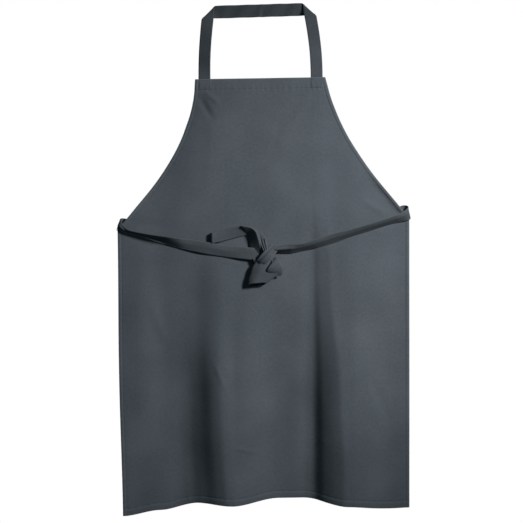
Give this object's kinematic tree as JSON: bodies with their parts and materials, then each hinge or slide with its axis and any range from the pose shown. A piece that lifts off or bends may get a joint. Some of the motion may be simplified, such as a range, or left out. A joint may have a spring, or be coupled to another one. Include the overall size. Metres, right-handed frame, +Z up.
{
  "type": "bib apron",
  "caption": "Grey cloth bib apron that hangs by a folded neck strap, with its waist ties brought to the front and knotted.",
  "frame": {"origin": "underside of the neck strap's level stretch, at its middle, where a peg, a hanger or a neck carries the apron", "axes": "+Z up, the front faces -Y, +X on the right of someone who looks at the front"},
  "size_m": [0.6854, 0.0428, 1.1784],
  "materials": {
    "twill": "matt twill weave",
    "tape": "matt folded tape",
    "thread": "satin sewing thread"
  },
  "bodies": {
    "neck_strap": {"neck_strap": "tape", "neck_strap_stitching": "thread"},
    "bib": {"bib_panel": "twill", "top_hem_stitching": "thread", "left_armhole_stitching": "thread", "right_armhole_stitching": "thread", "left_strap_end": "tape", "right_strap_end": "tape", "left_strap_tack": "thread", "right_strap_tack": "thread"},
    "skirt": {"skirt_panel": "twill", "left_side_stitching": "thread", "right_side_stitching": "thread", "bottom_hem_stitching": "thread", "left_tie_end": "tape", "right_tie_end": "tape", "left_tie_tack": "thread", "right_tie_tack": "thread"},
    "waist_ties": {"left_waist_tie": "tape", "right_waist_tie": "tape", "left_tie_stitching": "thread", "right_tie_stitching": "thread", "tie_knot": "tape", "short_tie_tail": "tape", "short_tail_stitching": "thread"},
    "tie_tail": {"tie_tail": "tape", "tie_tail_stitching": "thread"},
    "bow_loop": {"bow_loop": "tape"}
  },
  "joints": [
    {"name": "bib_swing", "type": "hinge", "parent": "neck_strap", "child": "bib", "pos_m": [0, -0.0052, -0.1345], "axis": [-0.9999, 0, -0.0168], "range_deg": [-150, 150]},
    {"name": "waist_fold", "type": "hinge", "parent": "bib", "child": "skirt", "pos_m": [0, -0.008, -0.44222], "axis": [-0.999, 0, -0.0449], "range_deg": [-150, 120]},
    {"name": "ties_swing", "type": "hinge", "parent": "skirt", "child": "waist_ties", "pos_m": [0, -0.0112, -0.44922], "axis": [-0.999, 0, -0.0449], "range_deg": [0, 120]},
    {"name": "tail_bend", "type": "hinge", "parent": "waist_ties", "child": "tie_tail", "pos_m": [-0.0135, -0.0195, -0.53], "axis": [1, 0, 0], "range_deg": [0, 80]},
    {"name": "loop_swing", "type": "hinge", "parent": "waist_ties", "child": "bow_loop", "pos_m": [0.004, -0.021, -0.5575], "axis": [-1, 0, 0], "range_deg": [0, 60]}
  ]
}
